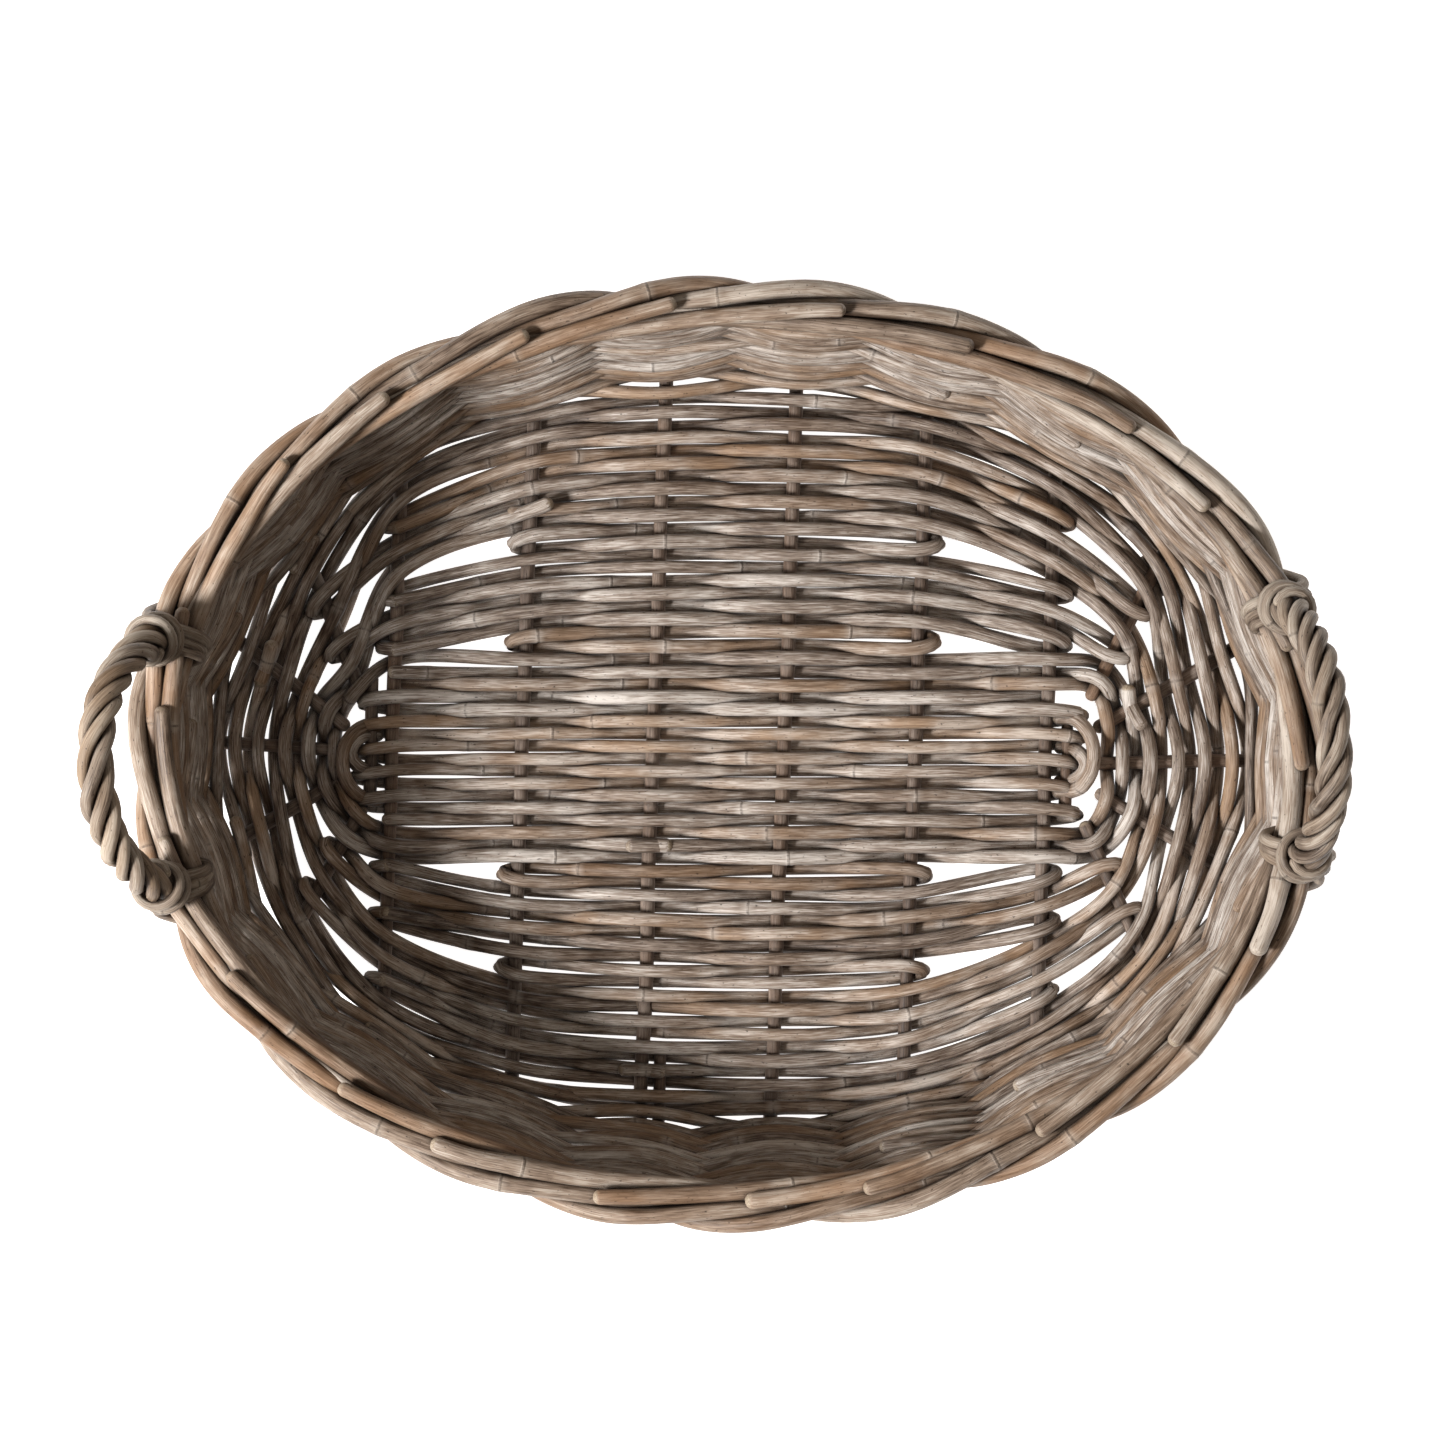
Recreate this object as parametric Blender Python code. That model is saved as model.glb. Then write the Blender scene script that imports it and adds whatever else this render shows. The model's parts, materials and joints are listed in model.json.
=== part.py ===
"""An oval woven rattan basket with two roped bow handles.

Blender 4.5, metres, +Z up.  X runs through the two handles, Y across, and Z = 0 is the
surface that the basket stands on.  The floor and the wall are one weave: stakes cross the
floor and turn up into the wall, and weavers pass over and under them, row on row.
"""

import math
from collections import namedtuple

import bpy
from mathutils import Vector

# Overall sizes
FOOT_HALF_LENGTH = 0.270  # stake line at the foot of the wall, along X
FOOT_HALF_WIDTH = 0.194  # the same along Y
END_FLARE = 0.007  # how far the wall leans out to the border's centre, along X
SIDE_FLARE = 0.023  # the same along Y
RIM_HEIGHT = 0.140  # top of the border above the surface
BEND_RADIUS = 0.020  # of a stake, from the floor up into the wall
BEND_STEPS = 5  # straight lengths in that bend

# Rods
STAKE_DIAMETER = 0.0070
WEAVER_SIDE = 0.0046  # a weaver's flattened section, across the flats
BORDER_ROD_DIAMETER = 0.0085
WEAVE_CLEARANCE = 0.0016  # between a weaver and the stake that it passes
ROW_CLEARANCE = 0.0016  # least gap between neighbouring rows
REST_CLEARANCE = 0.0004  # between pieces that rest on each other

# Floor
CROSS_STAKES = 6
CROSS_STAKE_PITCH = 0.066
CROSS_STAKE_LEAN = math.radians(2.0)
CROSS_STAKE_CENTRE = Vector((-0.008, -0.004, 0.0))  # middle of the woven band
BAND_ROWS = 17  # odd, so that the rounds outside it alternate all the way round
BAND_ROW_PITCH = 0.0060
BAND_PROUD = 0.0003  # the band stands this much lower than the rounds, and carries the basket
BAND_TURN_REACH = 0.018  # how far the band's weaver runs past the stake that it turns round
PACKING_TURN_REACH = 0.0125  # the same for a packing rod
TURN_SLACK = 0.4  # height left at the turn, as a share of that over the stake
PACKING_GROUPS = 2
ROUNDS_BETWEEN_GROUPS = 2
BASE_ROUNDS = 8  # rounds that lie flat on the floor, at the least

# Fan of stakes at each end
END_STAKES = 5
FAN_HALF_LENGTH = 0.041  # oval on which the fan stakes begin
FAN_HALF_WIDTH = 0.086
FAN_HALF_ANGLE = math.radians(48.0)

# Rolled border
BORDER_ROLL_RADIUS = 0.0080  # from the border's centre to a rod's centre
BORDER_STRANDS = 4  # rods side by side at any place
BORDER_START_ANGLE = math.radians(110.0)
BORDER_END_GAP = 0.012  # between one rod's tip and the next rod's start
BORDER_STEPS = 3  # points of a rod in each space between stakes

# Handles
HANDLE_HALF_SPAN = 0.058
HANDLE_RISE = 0.058  # of the bow's centre line above its feet
HANDLE_BOW_DIAMETER = 0.0090
BOW_STEPS = 14  # straight lengths in a bow
HANDLE_STRAND_SIDE = 0.0050
STRAND_TURNS = 4
STRAND_STEPS = 8  # points in a turn
STRAND_MARGIN = 0.05  # share of the bow at each foot that the turns leave bare
LASHING_ANGLES = [math.radians(a) for a in (52.0, 22.0, -8.0)]  # round the border's shoulder
LASHING_DROP = 0.030  # of a strand's end below the border's centre
LEFT_HANDLE_LEAN = 0.018  # outward, at the top of the bow
RIGHT_HANDLE_LEAN = 0.004
LEFT_HANDLE_Y = -0.006
RIGHT_HANDLE_Y = 0.011

UP = Vector((0.0, 0.0, 1.0))
RIM_HALF_LENGTH = FOOT_HALF_LENGTH + END_FLARE  # centre of the rolled border
RIM_HALF_WIDTH = FOOT_HALF_WIDTH + SIDE_FLARE
WEAVE_OFFSET = (STAKE_DIAMETER + WEAVER_SIDE) / 2 + WEAVE_CLEARANCE
FLOOR_Z = WEAVE_OFFSET + BAND_PROUD + WEAVER_SIDE / 2
STEEP_CHANGE = math.radians(6.0)  # past this change of slope, a row gets a point between stakes
BORDER_RADIUS = BORDER_ROLL_RADIUS + BORDER_ROD_DIAMETER / 2
BORDER_Z = RIM_HEIGHT - BORDER_RADIUS
WALL_TOP_Z = BORDER_Z - BORDER_RADIUS - REST_CLEARANCE
LEAST_ROW_PITCH = WEAVER_SIDE + ROW_CLEARANCE
CENTRE_SHIFT = (LEFT_HANDLE_LEAN - RIGHT_HANDLE_LEAN) / 2

# Where a weaver goes: its point, the slope of the weave there, and the stake line beside it.
Pass = namedtuple("Pass", "point slope on_stake")

RATTAN = {
    "weaver": ((0.185, 0.142, 0.112, 1.0), 0.62),
    "stake": ((0.085, 0.060, 0.047, 1.0), 0.70),
    "border": ((0.215, 0.160, 0.122, 1.0), 0.58),
    "handle": ((0.190, 0.145, 0.110, 1.0), 0.60),
}


# ---------------------------------------------------------------- scene helpers


def clear_scene():
    for item in list(bpy.data.objects):
        bpy.data.objects.remove(item)


def new_collection():
    collection = bpy.data.collections.new("woven_basket")
    bpy.context.scene.collection.children.link(collection)
    return collection


def rattan_material(name):
    colour, roughness = RATTAN[name]
    material = bpy.data.materials.new(name + "_rattan")
    material.use_nodes = True
    shader = material.node_tree.nodes["Principled BSDF"]
    shader.inputs["Base Color"].default_value = colour
    shader.inputs["Roughness"].default_value = roughness
    shader.inputs["Metallic"].default_value = 0.0
    material.diffuse_color = colour
    return material


class Bench:
    """Where finished pieces go: the collection, the frame and the materials."""

    def __init__(self):
        self.collection = new_collection()
        self.frame = bpy.data.objects.new("basket_frame", None)
        self.frame.location = (CENTRE_SHIFT, 0.0, 0.0)
        self.collection.objects.link(self.frame)
        self.materials = {name: rattan_material(name) for name in RATTAN}

    def rod(self, name, points, radius, material, sides=6, rolls=None):
        """A rod along the points.  rolls turn a four-sided rod's flats away from level."""
        curve = bpy.data.curves.new(name, "CURVE")
        curve.dimensions = "3D"
        curve.bevel_depth = radius
        curve.bevel_resolution = (sides - 4) // 2
        curve.use_fill_caps = True
        curve.twist_mode = "Z_UP" if rolls else "MINIMUM"
        spline = curve.splines.new("POLY")
        spline.points.add(len(points) - 1)
        for place, point in zip(spline.points, points):
            place.co = (point.x, point.y, point.z, 1.0)
        for place, roll in zip(spline.points, rolls or ()):
            place.tilt = math.radians(45.0) + roll
        curve.materials.append(self.materials[material])
        piece = bpy.data.objects.new(name, curve)
        piece.parent = self.frame
        self.collection.objects.link(piece)

    def weaver(self, name, passes):
        """A four-sided rod through passes, whose flats face the stakes."""
        points = [at.point for at in passes]
        rolls = [at.slope for at in passes]
        self.rod(name, points, WEAVER_SIDE / math.sqrt(2.0), "weaver", sides=4, rolls=rolls)


# ---------------------------------------------------------------- ovals


def oval_point(half_length, half_width, turn, z=0.0):
    return Vector((half_length * math.cos(turn), half_width * math.sin(turn), z))


def oval_normal(half_length, half_width, turn):
    return Vector((half_width * math.cos(turn), half_length * math.sin(turn), 0.0)).normalized()


def oval_turn(point):
    """The foot oval's turn angle at a point on it."""
    return math.atan2(point.y / FOOT_HALF_WIDTH, point.x / FOOT_HALF_LENGTH)


def meet_foot(start, direction):
    """Where a line on the floor reaches the foot of the wall."""
    a, b = FOOT_HALF_LENGTH, FOOT_HALF_WIDTH
    square = (direction.x / a) ** 2 + (direction.y / b) ** 2
    cross = start.x * direction.x / a**2 + start.y * direction.y / b**2
    rest = (start.x / a) ** 2 + (start.y / b) ** 2 - 1.0
    reach = (-cross + math.sqrt(cross**2 - square * rest)) / square
    return start + direction * reach


# ---------------------------------------------------------------- stakes


class Stake:
    """One stake from where weaving on it begins, across the floor, round the bend and up."""

    def __init__(self, start, foot, extra_rows):
        self.turn = oval_turn(foot)
        self.extra_rows = extra_rows
        self.along_wall = oval_normal(FOOT_HALF_LENGTH, FOOT_HALF_WIDTH, self.turn).cross(-UP)
        corner = Vector((foot.x, foot.y, FLOOR_Z))
        rim = oval_point(RIM_HALF_LENGTH, RIM_HALF_WIDTH, self.turn, BORDER_Z)
        start = Vector((start.x, start.y, FLOOR_Z))
        floor_way = (corner - start).normalized()
        wall_way = (rim - corner).normalized()
        top = corner + wall_way * ((WALL_TOP_Z - FLOOR_Z) / wall_way.z)
        half_bend = floor_way.angle(wall_way) / 2
        cut = BEND_RADIUS * math.tan(half_bend)
        centre = corner + (wall_way - floor_way).normalized() * (BEND_RADIUS / math.cos(half_bend))
        self.points = [start]
        first = (corner - floor_way * cut - centre).normalized()
        last = (corner + wall_way * cut - centre).normalized()
        for step in range(BEND_STEPS + 1):
            self.points.append(centre + first.slerp(last, step / BEND_STEPS) * BEND_RADIUS)
        self.points.append(top)
        self.length = sum((b - a).length for a, b in zip(self.points, self.points[1:]))
        lean = abs(floor_way.dot(oval_normal(FOOT_HALF_LENGTH, FOOT_HALF_WIDTH, self.turn)))
        self.woven_length = self.length - WEAVER_SIDE / 2
        self.most_rows = int(self.woven_length * lean / LEAST_ROW_PITCH)
        self.rows_laid = 0
        self.side = 1
        self.row_pitch = 0.0

    def skip_row(self):
        """Leaves the height of a row, where the rounds spread out past a packing rod's turn."""
        self.rows_laid += 1

    def set_rounds(self, rounds):
        self.row_pitch = self.woven_length / (rounds + self.extra_rows)

    def place(self, distance):
        """The point and direction at a distance along the stake."""
        for a, b in zip(self.points, self.points[1:]):
            span = (b - a).length
            if distance <= span:
                return a.lerp(b, distance / span), (b - a).normalized()
            distance -= span
        return self.points[-1].copy(), (self.points[-1] - self.points[-2]).normalized()

    def next_pass(self):
        """Where the next row passes this stake, on the other side from the last row."""
        point, way = self.place((self.rows_laid + 0.5) * self.row_pitch)
        self.rows_laid += 1
        self.side = -self.side
        inward = way.cross(self.along_wall).normalized()
        beside = point + inward * (self.side * WEAVE_OFFSET)
        return Pass(beside, math.asin(min(1.0, way.z)), point)


def cross_stake_x(index, y):
    across = (index - (CROSS_STAKES - 1) / 2) * CROSS_STAKE_PITCH
    return CROSS_STAKE_CENTRE.x + across + math.tan(CROSS_STAKE_LEAN) * (y - CROSS_STAKE_CENTRE.y)


def packing_rows_on(index):
    """Packing rows over a cross stake: the outer stakes miss the short ones."""
    outer = index in (0, CROSS_STAKES - 1)
    return PACKING_GROUPS * (2 if outer else 4)


def cross_half_stake(index, back):
    """The half of a cross stake on the back (+Y) or front (-Y) of the woven band."""
    way = 1 if back else -1
    edge_y = CROSS_STAKE_CENTRE.y + way * BAND_ROWS * BAND_ROW_PITCH / 2
    start = Vector((cross_stake_x(index, edge_y), edge_y, 0.0))
    direction = Vector((math.tan(CROSS_STAKE_LEAN), 1.0, 0.0)).normalized() * way
    stake = Stake(start, meet_foot(start, direction), packing_rows_on(index))
    top_row_side = 1 if index % 2 == 0 else -1
    stake.side = top_row_side
    return stake


def end_stakes(right, back_neighbour, front_neighbour):
    """The fan at one end, from the back to the front, with its feet evenly spaced."""
    way = 1 if right else -1
    hub_x = cross_stake_x(CROSS_STAKES - 1 if right else 0, CROSS_STAKE_CENTRE.y)
    hub = Vector((hub_x, CROSS_STAKE_CENTRE.y, 0.0))
    first, last = back_neighbour.turn, front_neighbour.turn
    if not right:
        last += 2 * math.pi
    stakes = []
    for number in range(END_STAKES):
        share = (number + 1) / (END_STAKES + 1)
        turn = first + (last - first) * share
        foot = oval_point(FOOT_HALF_LENGTH, FOOT_HALF_WIDTH, turn)
        spread = FAN_HALF_ANGLE * (1 - 2 * number / (END_STAKES - 1))
        start = hub + oval_point(way * FAN_HALF_LENGTH, FAN_HALF_WIDTH, spread)
        outer = number in (0, END_STAKES - 1)
        stakes.append(Stake(start, foot, 1 if outer else 0))
    return stakes


class Skeleton:
    """All stakes: the back and front halves of the cross stakes, and the two fans."""

    def __init__(self):
        indexes = range(CROSS_STAKES)
        self.back = [cross_half_stake(i, True) for i in indexes]
        self.front = [cross_half_stake(i, False) for i in indexes]
        self.right = end_stakes(True, self.back[-1], self.front[-1])
        self.left = end_stakes(False, self.back[0], self.front[0])
        # Clockwise seen from above, from the left end of the back.
        self.ring = self.back + self.right + self.front[::-1] + self.left[::-1]
        for number, stake in enumerate(self.ring):
            stake.side = self.back[0].side * (1 if number % 2 == 0 else -1)
        self.rounds = min(s.most_rows - s.extra_rows for s in self.ring)
        for stake in self.ring:
            stake.set_rounds(self.rounds)


def make_stakes(bench, skeleton):
    radius = STAKE_DIAMETER / 2
    for index in range(CROSS_STAKES):
        points = skeleton.front[index].points[::-1] + skeleton.back[index].points
        bench.rod(f"cross_stake_{index + 1}", points, radius, "stake")
    for label, fan in (("right", skeleton.right), ("left", skeleton.left)):
        for number, stake in enumerate(fan):
            bench.rod(f"{label}_end_stake_{number + 1}", stake.points, radius, "stake")


# ---------------------------------------------------------------- weavers


def turn_passes(from_row, to_row, came_from, reach):
    """A level turn past a stake, from the row that ends there into the row that returns."""
    outward = to_row - from_row
    outward.z = 0.0
    outward.normalize()
    way = outward.cross(UP)
    if way.dot(from_row - came_from) < 0:
        way.negate()
    half_gap = (WEAVER_SIDE + ROW_CLEARANCE) / 2
    near = way * (reach - half_gap) - outward * (ROW_CLEARANCE / 2)
    slack = Vector((0.0, 0.0, (from_row.z - FLOOR_Z) * TURN_SLACK))
    level = Vector((from_row.x, from_row.y, FLOOR_Z)) + near
    leaving = level + slack
    tip = level + (outward + way) * half_gap
    returning = level + outward * (2 * half_gap) - slack
    return [Pass(point, 0.0, point) for point in (leaving, tip, returning)]


def band_crossing(index, row):
    y = CROSS_STAKE_CENTRE.y + (row - (BAND_ROWS - 1) / 2) * BAND_ROW_PITCH
    side = 1 if (row + index) % 2 == 0 else -1
    return Vector((cross_stake_x(index, y), y, FLOOR_Z + side * (WEAVE_OFFSET + BAND_PROUD)))


def make_band_weaver(bench):
    """One weaver to and fro over the cross stakes, with a level run at each stake."""
    half_run = Vector((STAKE_DIAMETER / 4, 0.0, 0.0))
    passes = []
    for row in range(BAND_ROWS):
        way = 1 if row % 2 == 0 else -1
        order = range(CROSS_STAKES)[::way]
        crossings = [band_crossing(i, row) for i in order]
        for crossing in crossings:
            for point in (crossing - half_run * way, crossing + half_run * way):
                passes.append(Pass(point, 0.0, point))
        if row + 1 < BAND_ROWS:
            returning = band_crossing(order[-1], row + 1)
            passes += turn_passes(crossings[-1], returning, crossings[-2], BAND_TURN_REACH)
    bench.weaver("floor_band_weaver", passes)


def make_packing_rod(bench, name, stakes):
    """A rod that fills the floor's curve: out over some stakes, a turn, and back."""
    out_row = [stake.next_pass() for stake in stakes]
    back_row = [stake.next_pass() for stake in reversed(stakes)]
    last, before_last = out_row[-1].point, out_row[-2].point
    turn = turn_passes(last, back_row[0].point, before_last, PACKING_TURN_REACH)
    bench.weaver(name, out_row + turn + back_row)


def make_packing_group(bench, skeleton, group):
    for label, stakes in (("back", skeleton.back), ("front", skeleton.front)):
        first = 2 * group + 1
        make_packing_rod(bench, f"{label}_packing_rod_{first}", stakes[1:-1])
        make_packing_rod(bench, f"{label}_packing_rod_{first + 1}", stakes)
    if group == PACKING_GROUPS - 1:
        for fan in (skeleton.right, skeleton.left):
            fan[0].skip_row()
            fan[-1].skip_row()


def lay_round(skeleton, passes):
    """One row round all the stakes, added to a weaver's passes."""
    for stake in skeleton.ring:
        after = stake.next_pass()
        before = passes[-1] if passes else after
        if abs(before.slope - after.slope) > STEEP_CHANGE:
            middle = (before.on_stake + after.on_stake) / 2
            passes.append(Pass(middle, (before.slope + after.slope) / 2, middle))
        passes.append(after)


def make_weavers(bench, skeleton):
    """Pairs of weavers that chase each other round, since the stakes are even in number."""
    make_band_weaver(bench)
    wall_rounds = skeleton.rounds - BASE_ROUNDS
    lower_rounds = 2 * (wall_rounds // 4)
    names = ["base"] * BASE_ROUNDS + ["lower_side"] * lower_rounds
    names += ["upper_side"] * (wall_rounds - lower_rounds)
    paths = {}
    for number, name in enumerate(names):
        if number % ROUNDS_BETWEEN_GROUPS == 0 and number // ROUNDS_BETWEEN_GROUPS < PACKING_GROUPS:
            make_packing_group(bench, skeleton, number // ROUNDS_BETWEEN_GROUPS)
        partner = "ab"[number % 2]
        lay_round(skeleton, paths.setdefault(f"{name}_weaver_{partner}", []))
    for name, passes in paths.items():
        bench.weaver(name, passes)


# ---------------------------------------------------------------- border


def ring_turns(skeleton):
    """The stakes' turn angles, falling steadily as the ring runs clockwise."""
    turns = [skeleton.ring[0].turn]
    for stake in skeleton.ring[1:]:
        turn = stake.turn
        while turn > turns[-1]:
            turn -= 2 * math.pi
        turns.append(turn)
    return turns


def turn_at(turns, place):
    """The turn angle at a place counted in stakes, past the last stake and round again."""
    count = len(turns)
    whole = math.floor(place)
    laps, index = divmod(whole, count)
    here = turns[index] - 2 * math.pi * laps
    if index + 1 < count:
        after = turns[index + 1] - 2 * math.pi * laps
    else:
        after = turns[0] - 2 * math.pi * (laps + 1)
    return here + (after - here) * (place - whole)


def border_point(turns, place, angle, radius):
    turn = turn_at(turns, place)
    centre = oval_point(RIM_HALF_LENGTH, RIM_HALF_WIDTH, turn, BORDER_Z)
    outward = oval_normal(RIM_HALF_LENGTH, RIM_HALF_WIDTH, turn)
    return centre + outward * (radius * math.cos(angle)) + UP * (radius * math.sin(angle))


def make_border(bench, skeleton):
    """Rods rolled round the rim like the strands of a rope, one begun at each stake."""
    turns = ring_turns(skeleton)
    rim_length = 2 * math.pi * math.sqrt((RIM_HALF_LENGTH**2 + RIM_HALF_WIDTH**2) / 2)
    reach = BORDER_STRANDS - BORDER_END_GAP * len(turns) / rim_length
    steps = BORDER_STRANDS * BORDER_STEPS
    for number in range(len(turns)):
        points = []
        for step in range(steps + 1):
            along = reach * step / steps
            angle = BORDER_START_ANGLE - 2 * math.pi * along / BORDER_STRANDS
            points.append(border_point(turns, number + along, angle, BORDER_ROLL_RADIUS))
        name = f"border_rod_{number + 1:02d}"
        bench.rod(name, points, BORDER_ROD_DIAMETER / 2, "border")


# ---------------------------------------------------------------- handles


class HandleBow:
    """The bow's centre line: half an oval that stands on the border and leans outward."""

    def __init__(self, way, centre_y, lean):
        self.way = way
        self.foot_z = BORDER_Z + BORDER_RADIUS + REST_CLEARANCE
        self.centre_y = centre_y
        self.rise_way = Vector((way * lean, 0.0, HANDLE_RISE))
        self.out = Vector((way * HANDLE_RISE, 0.0, -lean)).normalized()

    def foot_x(self, y):
        return self.way * RIM_HALF_LENGTH * math.sqrt(1.0 - (y / RIM_HALF_WIDTH) ** 2)

    def point(self, share):
        """The point at a share of the way from the back foot to the front foot."""
        angle = math.pi * share
        y = self.centre_y + HANDLE_HALF_SPAN * math.cos(angle)
        foot = Vector((self.foot_x(y), y, self.foot_z))
        return foot + self.rise_way * math.sin(angle)

    def direction(self, share):
        step = 0.001
        return (self.point(share + step) - self.point(share - step)).normalized()


def lashing_points(bow, share, inner):
    """A strand's end: over the border's shoulder, and down beside the wall."""
    y = bow.point(share).y
    outward = -bow.way if inner else bow.way
    clear = BORDER_RADIUS + REST_CLEARANCE + HANDLE_STRAND_SIDE
    foot = Vector((bow.foot_x(y), y, BORDER_Z))
    points = []
    for angle in LASHING_ANGLES:
        arm = Vector((outward * math.cos(angle), 0.0, math.sin(angle)))
        points.append(foot + arm * clear)
    wall_lean = END_FLARE / (BORDER_Z - FLOOR_Z)
    inset = Vector((-bow.way * wall_lean * LASHING_DROP, 0.0, -LASHING_DROP))
    points.append(Vector((points[-1].x, y, BORDER_Z)) + inset)
    return points


def make_handle(bench, label, way, centre_y, lean):
    bow = HandleBow(way, centre_y, lean)
    line = [bow.point(step / BOW_STEPS) for step in range(BOW_STEPS + 1)]
    bench.rod(f"{label}_handle_bow", line, HANDLE_BOW_DIAMETER / 2, "handle")
    radius = (HANDLE_BOW_DIAMETER + HANDLE_STRAND_SIDE * math.sqrt(2.0)) / 2 + 2 * REST_CLEARANCE
    steps = STRAND_TURNS * STRAND_STEPS
    for name, inner in (("a", True), ("b", False)):
        start_angle = math.pi if inner else 0.0
        points = []
        for step in range(steps + 1):
            share = STRAND_MARGIN + (1 - 2 * STRAND_MARGIN) * step / steps
            angle = start_angle + 2 * math.pi * STRAND_TURNS * step / steps
            across = bow.direction(share).cross(bow.out)
            arm = bow.out * math.cos(angle) + across * math.sin(angle)
            points.append(bow.point(share) + arm * radius)
        head = lashing_points(bow, 0.0, inner)[::-1]
        tail = lashing_points(bow, 1.0, inner)
        name = f"{label}_handle_strand_{name}"
        bench.rod(name, head + points + tail, HANDLE_STRAND_SIDE / 2, "handle", sides=6)


def make_handles(bench):
    make_handle(bench, "left", -1, LEFT_HANDLE_Y, LEFT_HANDLE_LEAN)
    make_handle(bench, "right", 1, RIGHT_HANDLE_Y, RIGHT_HANDLE_LEAN)


def main():
    clear_scene()
    bench = Bench()
    skeleton = Skeleton()
    make_stakes(bench, skeleton)
    make_weavers(bench, skeleton)
    make_border(bench, skeleton)
    make_handles(bench)


main()
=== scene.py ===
"""The looks of an oval basket of weathered rattan, woven, with a rolled border and roped handles.

Blender 4.5, metres, +Z up.  Rods are laid in the basket's own frame, whose origin is under
the middle of the foot oval, and each finished piece is then moved by the frame's shift along X.
"""

import json
import math
from collections import namedtuple

import bpy
import numpy as np
from mathutils import Matrix, Vector

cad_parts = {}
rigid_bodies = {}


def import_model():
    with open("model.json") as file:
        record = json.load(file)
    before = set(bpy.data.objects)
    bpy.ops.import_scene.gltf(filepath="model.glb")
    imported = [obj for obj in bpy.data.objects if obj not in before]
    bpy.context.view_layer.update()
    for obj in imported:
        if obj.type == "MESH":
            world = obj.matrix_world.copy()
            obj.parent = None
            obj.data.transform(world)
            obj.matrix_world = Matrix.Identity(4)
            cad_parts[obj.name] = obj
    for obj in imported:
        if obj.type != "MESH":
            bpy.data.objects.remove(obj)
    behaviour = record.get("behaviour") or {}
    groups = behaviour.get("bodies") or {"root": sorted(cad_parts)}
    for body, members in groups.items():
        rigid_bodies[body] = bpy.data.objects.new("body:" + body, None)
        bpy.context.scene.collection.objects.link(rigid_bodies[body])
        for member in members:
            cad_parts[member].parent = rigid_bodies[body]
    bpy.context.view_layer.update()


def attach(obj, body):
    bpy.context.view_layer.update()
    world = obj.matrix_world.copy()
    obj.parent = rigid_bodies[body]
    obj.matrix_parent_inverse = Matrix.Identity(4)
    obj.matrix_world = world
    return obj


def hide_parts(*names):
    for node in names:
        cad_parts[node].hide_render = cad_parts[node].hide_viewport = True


UP = Vector((0.0, 0.0, 1.0))

# ---------------------------------------------------------------- sizes

# Shape of the basket
FOOT_HALF_LENGTH = 0.270
FOOT_HALF_WIDTH = 0.194
RIM_HALF_LENGTH = 0.277  # centre of the rolled border
RIM_HALF_WIDTH = 0.217
BORDER_Z = 0.1277
WALL_TOP_Z = 0.1185  # the wall's last row is pushed up against the border
FLOOR_Z = 0.0101
BEND_RADIUS = 0.020
CENTRE_SHIFT = 0.007  # from the foot oval's centre to the frame's origin

# Rods
STAKE_RADIUS = 0.0035
WEAVER_RADIUS = 0.0035
BORDER_ROD_RADIUS = 0.0045
HANDLE_STRAND_RADIUS = 0.0033
WEAVE_OFFSET = STAKE_RADIUS + WEAVER_RADIUS - 0.0005  # rods press into one another

# Floor
CROSS_STAKES = 6
CROSS_STAKE_PITCH = 0.066
CROSS_STAKE_LEAN = math.radians(2.0)
CROSS_STAKE_CENTRE = Vector((-0.008, -0.004, 0.0))
BAND_ROWS = 11
BAND_ROW_PITCH = 0.0062
BAND_TURN_REACH = 0.017
SHORT_STICK_GAP = 0.0105  # from the outermost cross stakes to the short sticks beside them
SHORT_STICKS = ((-1, -0.026, 0.036), (1, -0.030, 0.012))  # left or right, front y and back y
DOUBLE_STAKE_GAP = 0.0092  # to the stick beside the third cross stake at the front
DOUBLE_STAKE_START = 0.117  # how far along the stake that stick begins

# Hoops over the ends of the straight rows: half width, reach, height and shift to one side
HOOPS = ((0.019, 0.015, 0.0105, 0.002), (0.009, 0.011, 0.0080, -0.003))
HOOP_START = 0.009  # beyond the outermost cross stake
HOOP_TUCK = 0.011  # how far a hoop's ends go down

# Rounds
ROUND_COUNT = 27
BASE_ROUNDS = 12
LOWER_SIDE_ROUNDS = 8

# Where each fan stake begins, from the back of the fan to its front
RIGHT_FAN = ((0.180, 0.028), (0.184, 0.012), (0.185, -0.006), (0.185, -0.022), (0.177, -0.038))
LEFT_FAN = ((-0.188, 0.028), (-0.197, 0.013), (-0.198, 0.000), (-0.197, -0.013), (-0.188, -0.030))

# Rows that go only part of the way round, in the order in which they are woven in.
# "inner" turns back at the second cross stake from each end, "outer" at the first,
# and "wide" at the nearest stake of each fan.
EARLY_PACKING = ("inner", "outer", "wide", "outer", "inner")
LATE_PACKING = ("wide", "outer")
ROUNDS_BEFORE_EARLY = 3
ROUNDS_BEFORE_LATE = 5
PACKING_ROWS = {"inner": 14, "outer": 10, "wide": 4}
PACKING_REACH = 0.0085  # how far a row goes past its last stake before it turns back
ROW_SLIP = 0.10  # how far a row strays along a stake, as a share of the row pitch
SPLICE_REACH = 0.009  # how far a rod's end runs past its last stake
SPLICE_LIFT = 0.0016  # and how far it moves aside there

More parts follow.
